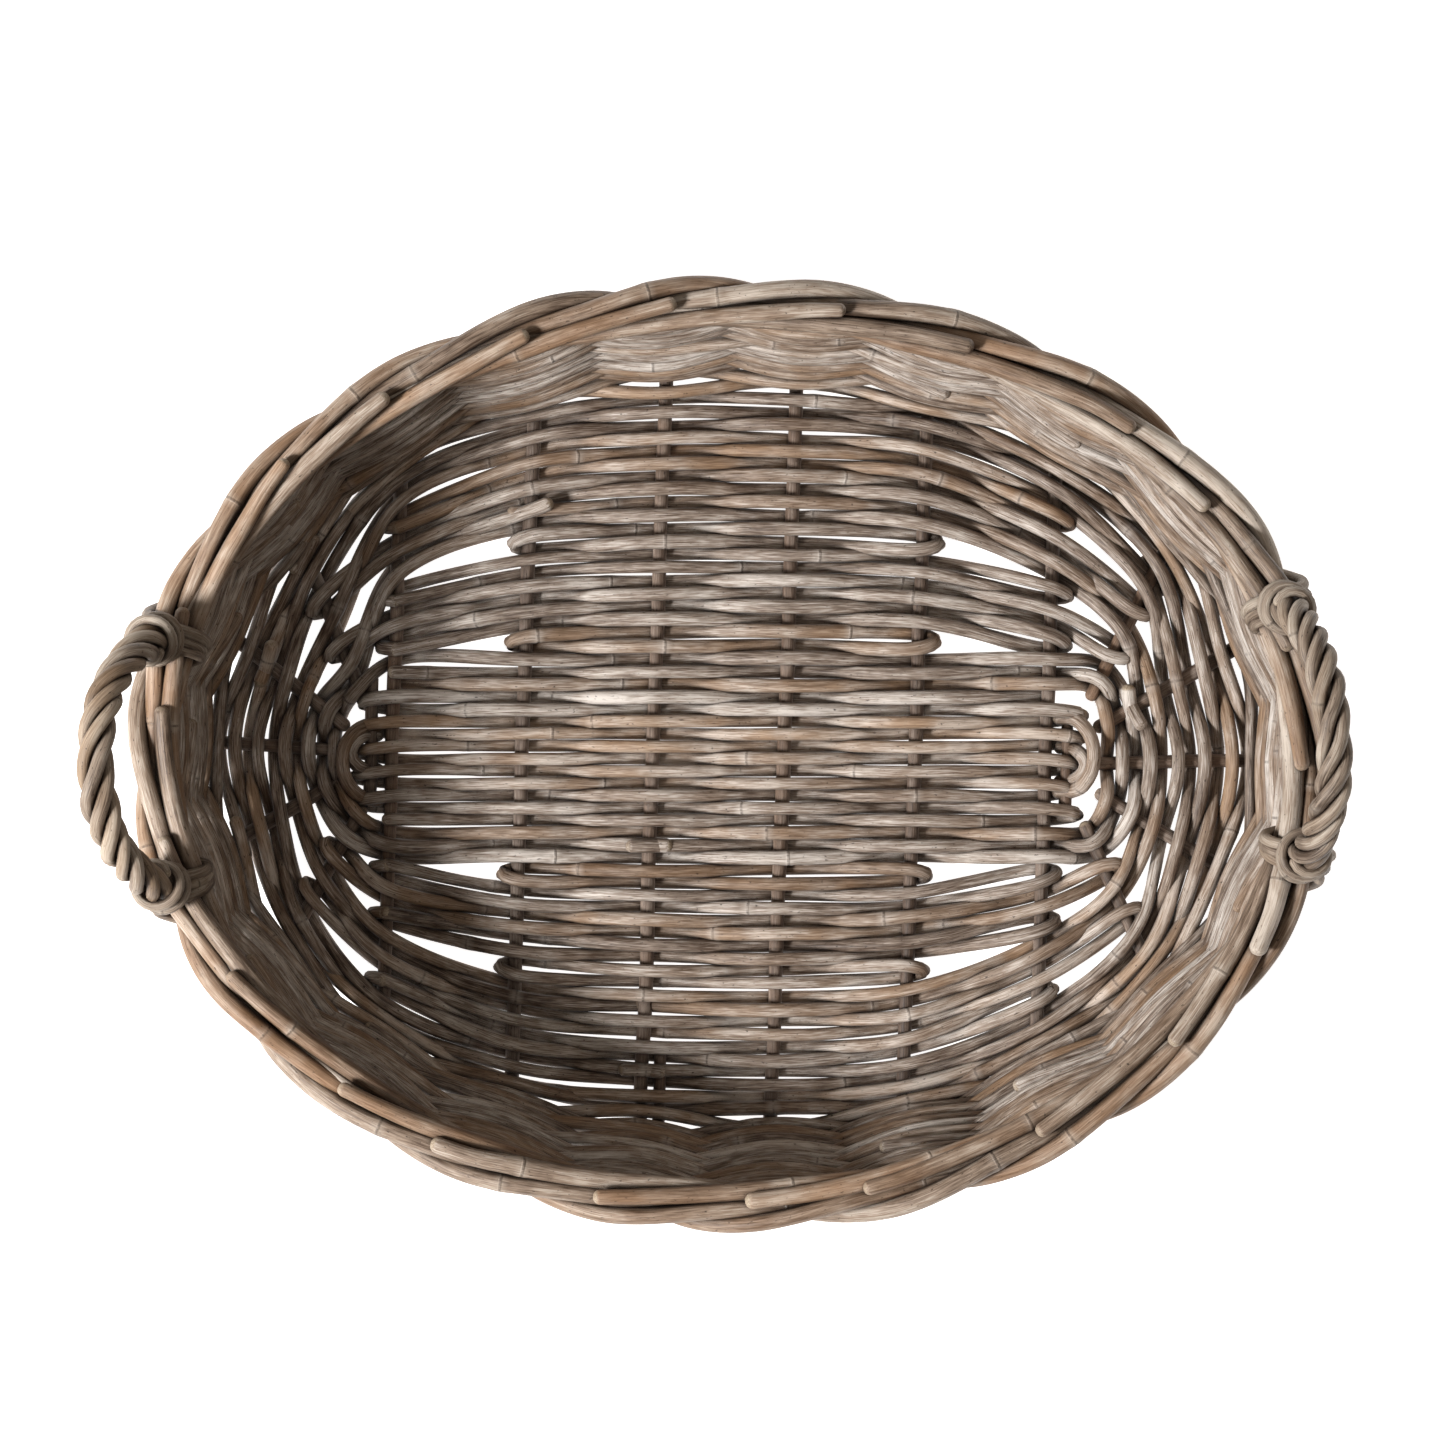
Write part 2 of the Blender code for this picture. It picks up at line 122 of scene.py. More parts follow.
# Border
# How a rod rolls round the border: its place in stakes from its start, its angle there
# (90 is on top and 0 outside) and its distance from the border's centre.
BORDER_ROLL = (
    (-0.5, 95.0, -0.0030),
    (0.0, 90.0, 0.0005),
    (0.35, 80.0, 0.0042),
    (0.7, 58.0, 0.0074),
    (1.0, 32.0, 0.0086),
    (1.6, -40.0, 0.0083),
    (2.3, -150.0, 0.0082),
    (2.8, -186.0, 0.0088),
    (3.4, -218.0, 0.0096),
    (4.2, -258.0, 0.0122),
)
BORDER_TIP_THINNING = 0.16  # share of the radius lost at the tip
THINNING_REACH = 0.03

# Handles
HANDLE_HALF_SPAN = 0.060
HANDLE_RISE = 0.0665
HANDLE_FOOT_LIFT = 0.004  # of the bow's ends above the border's centre
HANDLE_CORE_RADIUS = 0.0026
HANDLE_STRANDS = 4
STRAND_TURNS = 3.3
BOW_SQUARENESS = 0.82  # 1 is a plain oval
LEFT_HANDLE_LEAN = 0.018
RIGHT_HANDLE_LEAN = 0.004
LEFT_HANDLE_Y = -0.004
RIGHT_HANDLE_Y = 0.011
BINDING_RADIUS = 0.0026
BINDING_TURNS = 2.4
BINDING_SHARES = (0.035, 0.115)  # where it starts and ends, as shares of the bow from its foot
LASHING_RADIUS = 0.0030
LASHING_DEGREES = (-62, -35, 0, 35, 70, 105, 140, 172, 196, 214)  # round the border, 90 on top
LASHING_GAP = 0.0068  # between its strands outside
LASHING_CLOSING = 0.0005  # how much nearer they are at each step inward
LASHING_ASIDE = 0.010  # how far it starts from the handle's foot
LASHING_SWEEP = 0.0022  # how far it moves along the border at each step
LASHING_TUCK = 0.0045  # how much deeper its ends are
BORDER_SHOULDER = 0.0158  # from the border's centre to a lashing's centre

# Camera, floor and lights: place, diameter, power and colour of each light
CAMERA_PLACE = Vector((0.038, 0.0336, 2.4))
CAMERA_TARGET = Vector((0.001, 0.0141, 0.0))
CAMERA_LENS = 118.1
STUDIO_FLOOR_HALF = 12.0
STUDIO_FLOOR_Z = -0.0004
KEY_LIGHT = ((-1.9, -0.72, 2.0), 0.7, 121.0, (1.0, 0.99, 0.98))
OVERHEAD_LIGHT = ((0.5, 0.3, 2.6), 1.2, 12.0, (1.0, 0.92, 0.82))

# Mesh
RING_SPACING = 0.0032
WEAVER_SIDES = 12
THICK_SIDES = 16
CLOSEST_RINGS = 0.0002
CAP_RINGS = ((0.95, 0.25), (0.80, 0.52), (0.58, 0.74), (0.30, 0.86))  # width and rise, in radii
SKIN_INSET = 0.9  # a cap's rings narrower than this show the cut
STEEPEST_FOR_LEVEL = 0.15  # sine of a rod's angle from upright, under which no side is level

# Unevenness of a rod
CROOKEDNESS = 0.00028
THICKNESS_WANDER = 0.03
FIRST_JOINT = (0.01, 0.12)  # least and most distance along the rod
JOINT_SPACING = (0.10, 0.34)
JOINT_TO_END = 0.006
JOINT_RINGS = (-0.004, -0.0016, -0.0006, 0.0, 0.0006, 0.0016, 0.004)
JOINT_SWELL = 0.075  # as a share of the radius, like the groove
SWELL_REACH = 0.0036
JOINT_GROOVE = 0.03
GROOVE_REACH = 0.0005
FAR_FROM_JOINT = 0.05  # for a rod without joints

Pass = namedtuple("Pass", "point side inward")


# ---------------------------------------------------------------- smooth lines


def smooth_line(points):
    """Points about a ring's spacing apart on a Catmull-Rom curve through the given points."""
    path = np.array([tuple(p) for p in points], float)
    path = np.vstack([2 * path[0] - path[1], path, 2 * path[-1] - path[-2]])
    spans = np.linalg.norm(np.diff(path, axis=0), axis=1)
    knots = np.concatenate([[0.0], np.cumsum(spans**0.5)])
    pieces = []
    for i in range(1, len(path) - 2):
        p0, p1, p2, p3 = path[i - 1 : i + 3]
        t0, t1, t2, t3 = knots[i - 1 : i + 3]
        length = np.linalg.norm(p2 - p1)
        count = max(2, int(length / RING_SPACING))
        t = np.linspace(t1, t2, count, endpoint=False)[:, None]
        a1 = (t1 - t) / (t1 - t0) * p0 + (t - t0) / (t1 - t0) * p1
        a2 = (t2 - t) / (t2 - t1) * p1 + (t - t1) / (t2 - t1) * p2
        a3 = (t3 - t) / (t3 - t2) * p2 + (t - t2) / (t3 - t2) * p3
        b1 = (t2 - t) / (t2 - t0) * a1 + (t - t0) / (t2 - t0) * a2
        b2 = (t3 - t) / (t3 - t1) * a2 + (t - t1) / (t3 - t1) * a3
        pieces.append((t2 - t) / (t2 - t1) * b1 + (t - t1) / (t2 - t1) * b2)
    pieces.append(path[-2][None, :])
    return np.vstack(pieces)


def lengths_along(line):
    return np.concatenate([[0.0], np.cumsum(np.linalg.norm(np.diff(line, axis=0), axis=1))])


def resample(line, places):
    """The line's points at the given distances along it."""
    along = lengths_along(line)
    return np.column_stack([np.interp(places, along, line[:, axis]) for axis in range(3)])


def wander(rng, along, size, wavelength):
    """A smooth random number along a rod, of about the given size."""
    count = max(4, int(along[-1] / wavelength) + 3)
    values = rng.normal(0.0, size, count)
    knots = np.linspace(along[0], along[-1] + 1e-9, count)
    rough = np.interp(along, knots, values)
    width = max(1, int(len(along) / count / 2))
    kernel = np.hanning(2 * width + 3)[1:-1]
    padded = np.pad(rough, width, mode="edge")
    return np.convolve(padded, kernel / kernel.sum(), mode="valid")[: len(along)]


# ---------------------------------------------------------------- rods as meshes


class RodMesh:
    """Gathers the rods of one piece into one mesh."""

    def __init__(self, seed):
        self.rng = np.random.default_rng(seed)
        self.points = []
        self.faces = []
        self.fibre = []
        self.rod = []
        self.cut = []
        self.count = 0

    def add(self, line, radius, sides, thinning=0.0):
        """One rod along a line, with joints, a little crookedness and two cut ends.

        thinning is how much thinner its last end is, as a share of its radius.
        """
        rng = self.rng
        total = lengths_along(line)[-1]
        joints = []
        place = rng.uniform(*FIRST_JOINT)
        while place < total - JOINT_TO_END:
            joints.append(place)
            place += rng.uniform(*JOINT_SPACING)
        joints = np.array(joints)
        extra = (joints[:, None] + np.array(JOINT_RINGS)).ravel()
        steps = np.linspace(0.0, total, max(4, int(total / RING_SPACING)))
        places = np.unique(np.concatenate([steps, np.clip(extra, 0.0, total)]))
        places = places[np.concatenate([[True], np.diff(places) > CLOSEST_RINGS])]
        centre = resample(line, places)
        for axis in range(3):
            centre[:, axis] += wander(rng, places, CROOKEDNESS, 0.035)
        to_joint = np.full(len(places), FAR_FROM_JOINT)
        if len(joints):
            to_joint = np.abs(places[:, None] - joints[None, :]).min(axis=1)
        swell = JOINT_SWELL * np.exp(-((to_joint / SWELL_REACH) ** 2))
        groove = -JOINT_GROOVE * np.exp(-((to_joint / GROOVE_REACH) ** 2))
        size = radius * (1 + swell + groove + wander(rng, places, THICKNESS_WANDER, 0.04))
        size = size * (1 - thinning * np.exp(-(((total - places) / THINNING_REACH) ** 2)))
        tangent = np.gradient(centre, places, axis=0)
        tangent /= np.linalg.norm(tangent, axis=1)[:, None]
        side, above = self._frame(tangent)
        turn = np.linspace(0.0, 2 * math.pi, sides, endpoint=False)
        lobes = 1 + 0.02 * np.cos(2 * turn + rng.uniform(0, 6))
        lobes = lobes + 0.012 * np.cos(3 * turn + rng.uniform(0, 6))
        across = np.cos(turn)[None, :, None] * side[:, None, :]
        upward = np.sin(turn)[None, :, None] * above[:, None, :]
        ring = (across + upward) * (size[:, None] * lobes[None, :])[:, :, None]
        shell = centre[:, None, :] + ring
        offset = rng.uniform(-5.0, 5.0, 3)
        fibre = np.empty((len(places), sides, 3))
        fibre[:, :, 0] = np.cos(turn)[None, :] * radius + offset[0]
        fibre[:, :, 1] = np.sin(turn)[None, :] * radius + offset[1]
        fibre[:, :, 2] = places[:, None] + offset[2]
        shade = rng.normal(0.0, 1.0)
        warmth = rng.uniform(0.0, 1.0)
        rod = np.empty((len(places), sides, 3))
        rod[:, :, 0] = (shade + wander(rng, places, 0.35, 0.06))[:, None]
        rod[:, :, 1] = (warmth + wander(rng, places, 0.12, 0.08))[:, None]
        rod[:, :, 2] = to_joint[:, None]
        start = self.count
        self.points.append(shell.reshape(-1, 3))
        self.fibre.append(fibre.reshape(-1, 3))
        self.rod.append(rod.reshape(-1, 3))
        self.cut.append(np.zeros(len(places) * sides))
        self.count += len(places) * sides
        for i in range(len(places) - 1):
            low, high = start + i * sides, start + (i + 1) * sides
            for j in range(sides):
                k = (j + 1) % sides
                self.faces.append((low + j, low + k, high + k, high + j))
        last = start + (len(places) - 1) * sides
        self._cap(centre[0], shell[0], -tangent[0], start, sides, fibre[0], rod[0], True)
        self._cap(centre[-1], shell[-1], tangent[-1], last, sides, fibre[-1], rod[-1], False)

    @staticmethod
    def _frame(tangent):
        """Two directions across the rod at each ring: level where they can be, and above it."""
        side = np.cross(tangent, np.tile([0.0, 0.0, 1.0], (len(tangent), 1)))
        weak = np.linalg.norm(side, axis=1) < STEEPEST_FOR_LEVEL
        side[weak] = np.cross(tangent[weak], [1.0, 0.0, 0.0])
        side /= np.linalg.norm(side, axis=1)[:, None]
        for i in range(1, len(side)):
            if np.dot(side[i], side[i - 1]) < 0:
                side[i] = -side[i]
        return side, np.cross(side, tangent)

    def _cap(self, centre, edge, outward, first, sides, fibre, rod, flip):
        """A cut end, worn round at its rim.  Some cuts have weathered less than others."""
        size = np.linalg.norm(edge[0] - centre)
        previous = first
        fresh = self.rng.uniform(0.1, 1.0) ** 1.5
        for inset, rise in CAP_RINGS:
            ring = centre + (edge - centre) * inset + outward * size * rise
            begin = self.count
            self.points.append(ring)
            self.fibre.append((fibre - fibre.mean(axis=0)) * inset + fibre.mean(axis=0))
            self.rod.append(rod)
            self.cut.append(np.full(sides, 0.0 if inset > SKIN_INSET else fresh))
            self.count += sides
            for j in range(sides):
                k = (j + 1) % sides
                quad = (previous + j, previous + k, begin + k, begin + j)
                self.faces.append(quad[::-1] if flip else quad)
            previous = begin
        face = tuple(range(previous, previous + sides))
        self.faces.append(face[::-1] if flip else face)

    def finish(self, name, material, nodes, slot):
        points = np.vstack(self.points)
        points[:, 0] += CENTRE_SHIFT
        mesh = bpy.data.meshes.new(name)
        mesh.from_pydata(points.tolist(), [], self.faces)
        for label, kind, rows in (
            ("fibre", "FLOAT_VECTOR", np.vstack(self.fibre)),
            ("rod", "FLOAT_VECTOR", np.vstack(self.rod)),
        ):
            layer = mesh.attributes.new(label, kind, "POINT")
            layer.data.foreach_set("vector", rows.astype(np.float32).ravel())
        layer = mesh.attributes.new("cut", "FLOAT", "POINT")
        layer.data.foreach_set("value", np.concatenate(self.cut).astype(np.float32))
        mesh.shade_smooth()
        mesh.materials.append(material)
        mesh.update()
        piece = bpy.data.objects.new(name, mesh)
        bpy.context.scene.collection.objects.link(piece)
        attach(piece, "root")
        if nodes:
            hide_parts(*nodes)
        return piece


# ---------------------------------------------------------------- stakes


def oval_point(half_length, half_width, turn, z=0.0):
    return Vector((half_length * math.cos(turn), half_width * math.sin(turn), z))


def oval_normal(half_length, half_width, turn):
    return Vector((half_width * math.cos(turn), half_length * math.sin(turn), 0.0)).normalized()


def meet_foot(start, direction):
    """Where a line on the floor reaches the foot of the wall."""
    a, b = FOOT_HALF_LENGTH, FOOT_HALF_WIDTH
    square = (direction.x / a) ** 2 + (direction.y / b) ** 2
    cross = start.x * direction.x / a**2 + start.y * direction.y / b**2
    rest = (start.x / a) ** 2 + (start.y / b) ** 2 - 1.0
    reach = (-cross + math.sqrt(cross**2 - square * rest)) / square
    return start + direction * reach


class Stake:
    """A stake from the first row woven on it, across the floor, round the bend and up."""

    def __init__(self, start, foot, extra_rows):
        self.turn = math.atan2(foot.y / FOOT_HALF_WIDTH, foot.x / FOOT_HALF_LENGTH)
        self.along_wall = oval_normal(FOOT_HALF_LENGTH, FOOT_HALF_WIDTH, self.turn).cross(-UP)
        corner = Vector((foot.x, foot.y, FLOOR_Z))
        rim = oval_point(RIM_HALF_LENGTH, RIM_HALF_WIDTH, self.turn, BORDER_Z)
        start = Vector((start.x, start.y, FLOOR_Z))
        floor_way = (corner - start).normalized()
        wall_way = (rim - corner).normalized()
        top = corner + wall_way * ((WALL_TOP_Z - FLOOR_Z) / wall_way.z)
        half_bend = floor_way.angle(wall_way) / 2
        cut = BEND_RADIUS * math.tan(half_bend)
        centre = corner + (wall_way - floor_way).normalized() * (BEND_RADIUS / math.cos(half_bend))
        first = (corner - floor_way * cut - centre).normalized()
        last = (corner + wall_way * cut - centre).normalized()
        bend = [centre + first.slerp(last, step / 8) * BEND_RADIUS for step in range(9)]
        self.points = [start] + bend + [top]
        self.length = sum((b - a).length for a, b in zip(self.points, self.points[1:]))
        self.row_pitch = self.length / (ROUND_COUNT + extra_rows)
        self.rows_laid = 0
        self.side = 1
        self.rng = np.random.default_rng(int(1000 * (self.turn + 4)))

    def place(self, distance):
        for a, b in zip(self.points, self.points[1:]):
            span = (b - a).length
            if distance <= span:
                return a.lerp(b, distance / span), (b - a).normalized()
            distance -= span
        return self.points[-1].copy(), (self.points[-1] - self.points[-2]).normalized()

    def next_pass(self):
        """Where the next row passes, on the other side of the stake from the last row."""
        slip = self.rng.uniform(-ROW_SLIP, ROW_SLIP)
        point, way = self.place((self.rows_laid + 0.5 + slip) * self.row_pitch)
        self.rows_laid += 1
        self.side = -self.side
        inward = way.cross(self.along_wall).normalized()
        offset = WEAVE_OFFSET + self.rng.uniform(-0.0004, 0.0003)
        return Pass(point + inward * (self.side * offset), self.side, inward)


def cross_stake_x(index, y):
    across = (index - (CROSS_STAKES - 1) / 2) * CROSS_STAKE_PITCH
    return CROSS_STAKE_CENTRE.x + across + math.tan(CROSS_STAKE_LEAN) * (y - CROSS_STAKE_CENTRE.y)


def cross_half_stake(index, back):
    way = 1 if back else -1
    edge_y = CROSS_STAKE_CENTRE.y + way * BAND_ROWS * BAND_ROW_PITCH / 2
    start = Vector((cross_stake_x(index, edge_y), edge_y, 0.0))
    direction = Vector((math.tan(CROSS_STAKE_LEAN), 1.0, 0.0)).normalized() * way
    outer = index in (0, CROSS_STAKES - 1)
    extra = PACKING_ROWS["outer" if outer else "inner"]
    return Stake(start, meet_foot(start, direction), extra)


def fan_stakes(starts, back_neighbour, front_neighbour):
    first, last = back_neighbour.turn, front_neighbour.turn
    if starts[0][0] < 0:
        last += 2 * math.pi
    stakes = []
    for number, (x, y) in enumerate(starts):
        share = (number + 1) / (len(starts) + 1)
        foot = oval_point(FOOT_HALF_LENGTH, FOOT_HALF_WIDTH, first + (last - first) * share)
        outer = number in (0, len(starts) - 1)
        extra = PACKING_ROWS["wide"] if outer else 0
        stakes.append(Stake(Vector((x, y, 0.0)), foot, extra))
    return stakes


class Skeleton:
    """All stakes: back and front halves of the cross stakes, and the two fans."""

    def __init__(self):
        self.back = [cross_half_stake(i, True) for i in range(CROSS_STAKES)]
        self.front = [cross_half_stake(i, False) for i in range(CROSS_STAKES)]
        self.right = fan_stakes(RIGHT_FAN, self.back[-1], self.front[-1])
        self.left = fan_stakes(LEFT_FAN, self.back[0], self.front[0])
        # Clockwise seen from above, from the left end of the back.
        self.ring = self.back + self.right + self.front[::-1] + self.left[::-1]
        for number, stake in enumerate(self.ring):
            stake.side = 1 if number % 2 == 0 else -1


def make_stakes(skeleton, material):
    for index in range(CROSS_STAKES):
        points = skeleton.front[index].points[::-1] + skeleton.back[index].points
        rods = RodMesh(100 + index)
        rods.add(smooth_line(points), STAKE_RADIUS, WEAVER_SIDES)
        rods.finish(f"stake_{index + 1}", material, [f"cross_stake_{index + 1}"], "stake")
    for label, fan in (("right", skeleton.right), ("left", skeleton.left)):
        for number, stake in enumerate(fan):
            rods = RodMesh(120 + number + (10 if label == "right" else 0))
            rods.add(smooth_line(stake.points), STAKE_RADIUS, WEAVER_SIDES)
            name = f"{label}_fan_stake_{number + 1}"
            rods.finish(name, material, [f"{label}_end_stake_{number + 1}"], "stake")


def make_loose_sticks(skeleton, material):
    """Short sticks beside the outermost cross stakes, and a long one beside the third in front."""
    rods = RodMesh(150)
    for way, low, high in SHORT_STICKS:
        index = 0 if way < 0 else CROSS_STAKES - 1
        points = []
        for y in (low, (low + high) / 2, high):
            x = cross_stake_x(index, y) + way * SHORT_STICK_GAP
            points.append(Vector((x, y, FLOOR_Z)))
        rods.add(smooth_line(points), STAKE_RADIUS * 0.95, WEAVER_SIDES)
    beside = Vector((DOUBLE_STAKE_GAP, 0.0, 0.0))
    stake = skeleton.front[2]
    start, _ = stake.place(DOUBLE_STAKE_START)
    points = [start + beside] + [p + beside for p in stake.points[1:]]
    rods.add(smooth_line(points), STAKE_RADIUS * 0.9, WEAVER_SIDES)
    rods.finish("loose_sticks", material, [], "stake")


# ---------------------------------------------------------------- weavers


def add_weaver(rods, points):
    radius = WEAVER_RADIUS * rods.rng.uniform(0.90, 1.06)
    rods.add(smooth_line(points), radius, WEAVER_SIDES)


def band_crossing(index, row):
    y = CROSS_STAKE_CENTRE.y + (row - (BAND_ROWS - 1) / 2) * BAND_ROW_PITCH
    side = 1 if (row + index) % 2 == 0 else -1
    return Vector((cross_stake_x(index, y), y, FLOOR_Z + side * WEAVE_OFFSET))


def make_band(material):
    """The straight rows in the middle, which turn back past the outermost cross stakes."""
    rods = RodMesh(200)
    points = []
    for row in range(BAND_ROWS):
        way = 1 if row % 2 == 0 else -1
        crossings = [band_crossing(i, row) for i in range(CROSS_STAKES)[::way]]
        points += crossings
        if row + 1 < BAND_ROWS:
            reach = BAND_TURN_REACH * rods.rng.uniform(0.85, 1.15)
            middle = crossings[-1] + Vector((way * reach, BAND_ROW_PITCH / 2, 0.0))
            middle.z = FLOOR_Z
            points.append(middle)
        if row % 3 == 2 or row == BAND_ROWS - 1:
            add_weaver(rods, points)
            points = points[-2:]
    rods.finish("floor_band", material, ["floor_band_weaver"], "weaver")


def make_hoops(material):
    """Rods bent over the ends of the straight rows, with their own ends tucked down."""
    rods = RodMesh(210)
    for way in (-1, 1):
        index = 0 if way < 0 else CROSS_STAKES - 1
        edge = cross_stake_x(index, CROSS_STAKE_CENTRE.y) + way * HOOP_START
        for half_width, reach, height, aside in HOOPS:
            middle_y = CROSS_STAKE_CENTRE.y + aside * way
            points = []
            for angle in np.radians(np.linspace(-100, 100, 9)):
                x = edge + way * reach * math.cos(angle)
                z = FLOOR_Z + height - HOOP_TUCK * abs(math.sin(angle)) ** 6
                points.append(Vector((x, middle_y + half_width * math.sin(angle), z)))
            add_weaver(rods, points)
    rods.finish("end_hoops", material, [], "weaver")


def packing_turn(last, before, after):
    """The point where a row turns back round its last stake."""
    way = (last.point - before.point).normalized()
    middle = (last.point + after.point) / 2
    return middle + way * PACKING_REACH


def make_packing(rods, stakes):
    out_row = [stake.next_pass() for stake in stakes]
    back_row = [stake.next_pass() for stake in reversed(stakes)]
    far = packing_turn(out_row[-1], out_row[-2], back_row[0])
    near = packing_turn(back_row[-1], back_row[-2], out_row[0])
    points = [p.point for p in out_row] + [far] + [p.point for p in back_row] + [near]
    add_weaver(rods, points + points[:1])


def packing_stakes(skeleton, kind, back):
    across = skeleton.back if back else skeleton.front
    if kind == "inner":
        return across[1:-1]
    if kind == "outer":
        return across
    edge = 0 if back else -1
    return [skeleton.left[edge]] + across + [skeleton.right[edge]]


class Packing:
    """The rows that go part of the way, kept as pieces for the back and the front."""

    def __init__(self):
        self.meshes = []

    def lay(self, skeleton, kinds):
        for kind in kinds:
            for back in (True, False):
                rods = RodMesh(300 + len(self.meshes))
                make_packing(rods, packing_stakes(skeleton, kind, back))
                self.meshes.append(("back" if back else "front", rods))

    def finish(self, material):
        made = {"back": 0, "front": 0}
        for label, rods in self.meshes:
            made[label] += 1
            number = made[label]
            nodes = [f"{label}_packing_rod_{number}"] if number <= 4 else []
            rods.finish(f"{label}_packing_{number}", material, nodes, "weaver")


def round_name(number):
    partner = "ab"[number % 2]
    if number < BASE_ROUNDS:
        return f"base_weaver_{partner}"
    if number < BASE_ROUNDS + LOWER_SIDE_ROUNDS:
        return f"lower_side_weaver_{partner}"
    return f"upper_side_weaver_{partner}"


def spliced_end(at_stake, before, lift):
    """A rod's end, which runs a little past its last stake beside the rod that follows it."""
    onward = at_stake.point - before.point
    onward = (onward - at_stake.inward * onward.dot(at_stake.inward)).normalized()
    end = at_stake.point + onward * SPLICE_REACH + at_stake.inward * lift
    end.z = max(end.z, WEAVER_RADIUS + 0.0003)  # clear of the studio floor
    return end


def make_rounds(skeleton, material, packing):
    """Rows all the way round.  Each part of the wall has two weavers, made of rods in turn."""
    paths = {}
    newest = {}
    for number in range(ROUND_COUNT):
        if number == ROUNDS_BEFORE_EARLY:
            packing.lay(skeleton, EARLY_PACKING)
        if number == ROUNDS_BEFORE_LATE:
            packing.lay(skeleton, LATE_PACKING)
        passes = [stake.next_pass() for stake in skeleton.ring]
        name = round_name(number)
        partner = name[-1]
        if name not in paths:
            paths[name] = newest[partner][-1:] if partner in newest else []
        paths[name] += passes
        newest[partner] = passes
    for partner in "ba":  # both last rods end under the border, one stake past a full round
        paths["upper_side_weaver_" + partner].append(skeleton.ring[0].next_pass())
    for order, (name, passes) in enumerate(paths.items()):
        rods = RodMesh(400 + order)
        first = 0
        while first < len(passes) - 1:
            last = min(len(passes) - 1, first + rods.rng.integers(9, 21))
            if len(passes) - 1 - last < 5:
                last = len(passes) - 1
            points = [p.point for p in passes[first : last + 1]]
            if first > 0:
                points[0] = spliced_end(passes[first], passes[first + 1], -SPLICE_LIFT)
            if last < len(passes) - 1:
                points[-1] = spliced_end(passes[last], passes[last - 1], SPLICE_LIFT)
            add_weaver(rods, points)
            first = last
        rods.finish("woven_" + name, material, [name], "weaver")


# ---------------------------------------------------------------- border


def ring_turns(skeleton):
    turns = [skeleton.ring[0].turn]
    for stake in skeleton.ring[1:]:
        turn = stake.turn
        while turn > turns[-1]:
            turn -= 2 * math.pi
        turns.append(turn)
    return turns


def turn_at(turns, place):
    """The turn angle at a place counted in stakes, past the last stake and round again."""
    whole = math.floor(place)
    laps, index = divmod(whole, len(turns))
    here = turns[index] - 2 * math.pi * laps
    if index + 1 < len(turns):
        after = turns[index + 1] - 2 * math.pi * laps
    else:
        after = turns[0] - 2 * math.pi * (laps + 1)
    return here + (after - here) * (place - whole)


def border_point(turns, place, angle, radius):
    turn = turn_at(turns, place)
    centre = oval_point(RIM_HALF_LENGTH, RIM_HALF_WIDTH, turn, BORDER_Z)
    outward = oval_normal(RIM_HALF_LENGTH, RIM_HALF_WIDTH, turn)
    return centre + outward * (radius * math.cos(angle)) + UP * (radius * math.sin(angle))


def make_border(skeleton, material):
    turns = ring_turns(skeleton)
    places, angles, radii = zip(*BORDER_ROLL)
    for number in range(len(turns)):
        rods = RodMesh(500 + number)
        rng = rods.rng
        reach = places[-1] + rng.uniform(-0.22, 0.16)
        sway = rng.uniform(-9.0, 9.0)
        veer = rng.uniform(-16.0, 12.0)
        points = []
        for along in np.linspace(places[0], reach, 21):
            angle = np.interp(along, places, angles) + sway * math.sin(along * 1.6)
            angle += veer * (along / reach) ** 4
            radius = np.interp(along, places, radii) * (1 + 0.06 * math.sin(along * 2.3 + number))
            points.append(border_point(turns, number + along, math.radians(angle), radius))
        thickness = BORDER_ROD_RADIUS * rng.uniform(0.92, 1.08)
        rods.add(smooth_line(points), thickness, THICK_SIDES, thinning=BORDER_TIP_THINNING)
        name = f"border_{number + 1:02d}"
        rods.finish(name, material, [f"border_rod_{number + 1:02d}"], "border")
    filler = RodMesh(560)
    for start, angle in ((0.0, 150.0), (0.5, -30.0)):
        points = []
        for along in np.linspace(start, start + len(turns), 4 * len(turns) + 1):
            points.append(border_point(turns, along, math.radians(angle), 0.0033))
        filler.add(smooth_line(points), 0.0030, WEAVER_SIDES)
    filler.finish("border_filler", material, [], "border")


# ---------------------------------------------------------------- handles


class HandleBow:
    """The bow's centre line: half an oval that stands on the border and leans outward."""

    def __init__(self, way, centre_y, lean):
        self.way = way
        self.foot_z = BORDER_Z + HANDLE_FOOT_LIFT
        self.centre_y = centre_y
        self.rise_way = Vector((way * lean, 0.0, HANDLE_RISE))
        self.out = Vector((way * HANDLE_RISE, 0.0, -lean)).normalized()

    def foot_x(self, y):
        return self.way * RIM_HALF_LENGTH * math.sqrt(1.0 - (y / RIM_HALF_WIDTH) ** 2)

    def point(self, share):
        """The point at a share of the way from the back foot to the front foot."""
        angle = math.pi * min(1.0, max(0.0, share))
        across, up = math.cos(angle), math.sin(angle)
        y = self.centre_y + HANDLE_HALF_SPAN * math.copysign(abs(across) ** BOW_SQUARENESS, across)
        foot = Vector((self.foot_x(y), y, self.foot_z))
        return foot + self.rise_way * abs(up) ** BOW_SQUARENESS

    def round_bow(self, share, angle, radius):
        """A point beside the bow, at an angle round it from its outer side."""
        step = 0.001
        ahead = (self.point(share + step) - self.point(share - step)).normalized()
        across = ahead.cross(self.out)
        return self.point(share) + (self.out * math.cos(angle) + across * math.sin(angle)) * radius


